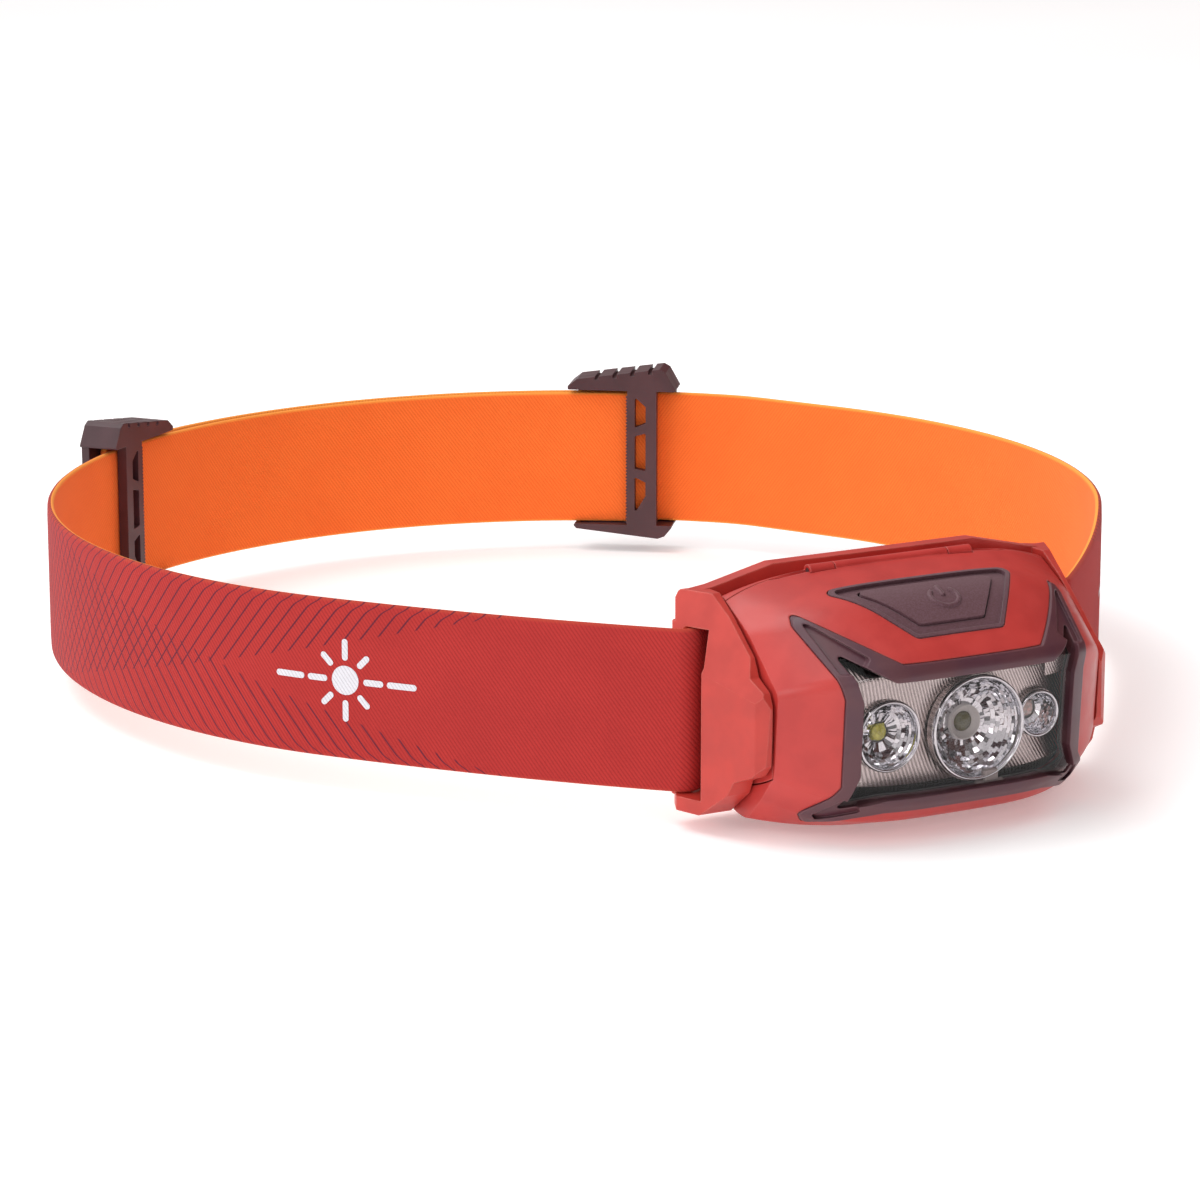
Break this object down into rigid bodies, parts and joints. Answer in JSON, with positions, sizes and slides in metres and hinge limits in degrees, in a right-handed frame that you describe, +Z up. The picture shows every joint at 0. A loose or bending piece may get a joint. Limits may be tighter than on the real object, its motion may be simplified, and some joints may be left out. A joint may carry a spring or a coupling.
{
  "type": "headlamp",
  "caption": "Tilting headlamp with a hinged two-shell body, faceted window, top push-button and an elastic strap with ladder sliders.",
  "frame": {"origin": "on the strap's inner face behind the lamp bracket, where it rests on the forehead, at the strap's mid-height and the lamp's centre line", "axes": "-Y is the direction the lamp shines, +Y points into the wearer's head, +Z is up"},
  "size_m": [0.1782, 0.2139, 0.0368],
  "materials": {
    "red_shell": "satin moulded red plastic",
    "red_bracket": "satin moulded red plastic",
    "dark_trim": "satin moulded maroon plastic",
    "slider_plastic": "satin moulded dark maroon plastic",
    "button_rubber": "soft-touch maroon rubber",
    "clear_lens": "clear polycarbonate",
    "black_rubber": "soft black seal",
    "reflector_chrome": "vacuum-metallised plastic",
    "led_package": "white package with yellow phosphor",
    "led_red_package": "white package with clear dome",
    "white_board": "white solder mask",
    "green_board": "green solder mask",
    "black_plastic": "matte black plastic",
    "pack_plastic": "textured black plastic",
    "cell_foil": "aluminium laminate pouch",
    "steel": "nickel-plated steel",
    "gold_contact": "gold-plated contact",
    "pin_plastic": "acetal pin",
    "strap_webbing": "woven elastic, red outside and orange inside"
  },
  "bodies": {
    "headband": {"bracket": "red_bracket", "headband_strap": "strap_webbing"},
    "left_slider": {"slider_left": "slider_plastic"},
    "right_slider": {"slider_right": "slider_plastic"},
    "lamp_rear": {"rear_cover": "red_shell", "pivot_pin_left": "pin_plastic", "pivot_pin_right": "pin_plastic", "hinge_pin": "steel", "cover_seal": "black_rubber"},
    "button": {"power_button": "button_rubber"},
    "latch": {"release_latch": "red_shell"},
    "lamp_front": {"front_shell": "red_shell", "bezel": "dark_trim", "button_seal": "button_rubber", "window_lens": "clear_lens", "window_gasket": "black_rubber", "reflector": "reflector_chrome", "led_spot": "led_package", "led_flood": "led_package", "led_red": "led_red_package", "led_board": "white_board", "driver_board": "green_board", "switch_board": "green_board", "battery_board": "green_board", "tactile_switch": "black_plastic", "battery_wall": "black_plastic", "battery_case": "pack_plastic", "battery_cell": "cell_foil", "usb_socket": "steel", "battery_contacts": "gold_contact", "battery_terminals": "gold_contact", "board_screws": "steel"}
  },
  "joints": [
    {"name": "lamp_tilt", "type": "hinge", "parent": "headband", "child": "lamp_rear", "pos_m": [0, -0.0175, -0.0045], "axis": [1, 0, 0], "range_deg": [0, 55]},
    {"name": "front_open", "type": "hinge", "parent": "lamp_rear", "child": "lamp_front", "pos_m": [0, -0.008, 0.0194], "axis": [-1, 0, 0], "range_deg": [0, 75]},
    {"name": "latch_press", "type": "slide", "parent": "lamp_front", "child": "latch", "axis": [0, 0, 1], "range_m": [0, 0.0008]},
    {"name": "button_press", "type": "slide", "parent": "lamp_front", "child": "button", "axis": [0, 0.4019, -0.9157], "range_m": [0, 0.0008]},
    {"name": "left_slider_shift", "type": "hinge", "parent": "headband", "child": "left_slider", "pos_m": [0, 0.09, 0], "axis": [0, 0, 1], "range_deg": [-5, 5]},
    {"name": "right_slider_shift", "type": "hinge", "parent": "headband", "child": "right_slider", "pos_m": [0, 0.09, 0], "axis": [0, 0, 1], "range_deg": [-5, 5]}
  ]
}
